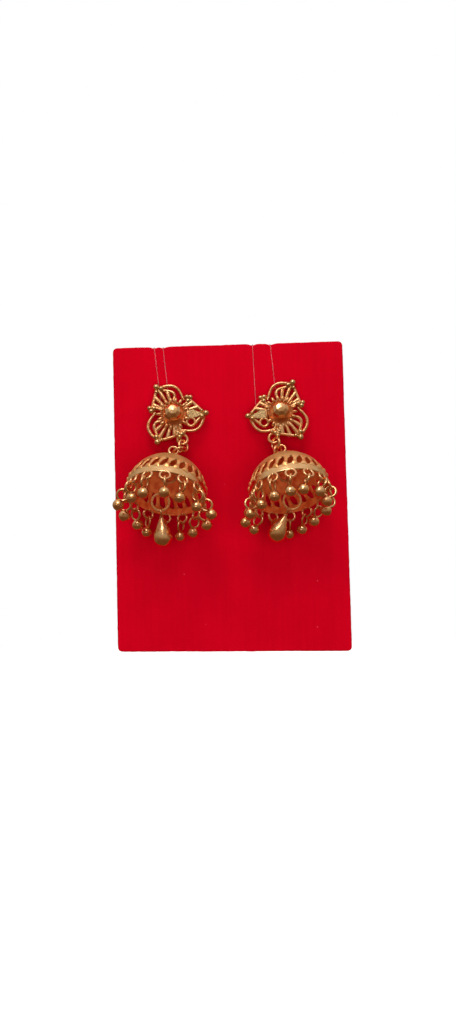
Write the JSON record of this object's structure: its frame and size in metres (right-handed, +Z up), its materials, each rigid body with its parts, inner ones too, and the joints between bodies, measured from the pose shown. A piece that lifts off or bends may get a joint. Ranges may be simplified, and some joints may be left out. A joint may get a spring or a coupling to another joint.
{
  "type": "pair of jhumka earrings on a display card",
  "caption": "Mirror-image pair of gilt dome-drop earrings: filigree flower studs, pierced bell domes with ball fringes and teardrops, tied on a plain red card.",
  "frame": {"origin": "where the card hangs: the middle of its top edge, on its back face", "axes": "+X to the viewer's right, +Y into the wall behind the card, +Z up; the earrings face -Y"},
  "size_m": [0.0609, 0.0302, 0.0807],
  "materials": {
    "gilt": "polished gold plating",
    "card_board": "plain red velvet-flocked board",
    "nylon": "clear nylon thread"
  },
  "bodies": {
    "root": {"card": "card_board", "left_back_nut": "gilt", "left_dome": "gilt", "left_drop_01": "gilt", "left_drop_02": "gilt", "left_drop_03": "gilt", "left_drop_04": "gilt", "left_drop_05": "gilt", "left_drop_06": "gilt", "left_drop_07": "gilt", "left_drop_08": "gilt", "left_drop_09": "gilt", "left_drop_10": "gilt", "left_drop_11": "gilt", "left_drop_12": "gilt", "left_drop_13": "gilt", "left_drop_14": "gilt", "left_inner_link_1": "gilt", "left_inner_link_2": "gilt", "left_inner_link_3": "gilt", "left_link_1": "gilt", "left_link_2": "gilt", "left_stud": "gilt", "left_teardrop": "gilt", "left_tie_thread": "nylon", "right_back_nut": "gilt", "right_dome": "gilt", "right_drop_01": "gilt", "right_drop_02": "gilt", "right_drop_03": "gilt", "right_drop_04": "gilt", "right_drop_05": "gilt", "right_drop_06": "gilt", "right_drop_07": "gilt", "right_drop_08": "gilt", "right_drop_09": "gilt", "right_drop_10": "gilt", "right_drop_11": "gilt", "right_drop_12": "gilt", "right_drop_13": "gilt", "right_drop_14": "gilt", "right_inner_link_1": "gilt", "right_inner_link_2": "gilt", "right_inner_link_3": "gilt", "right_link_1": "gilt", "right_link_2": "gilt", "right_stud": "gilt", "right_teardrop": "gilt", "right_tie_thread": "nylon"}
  },
  "joints": []
}
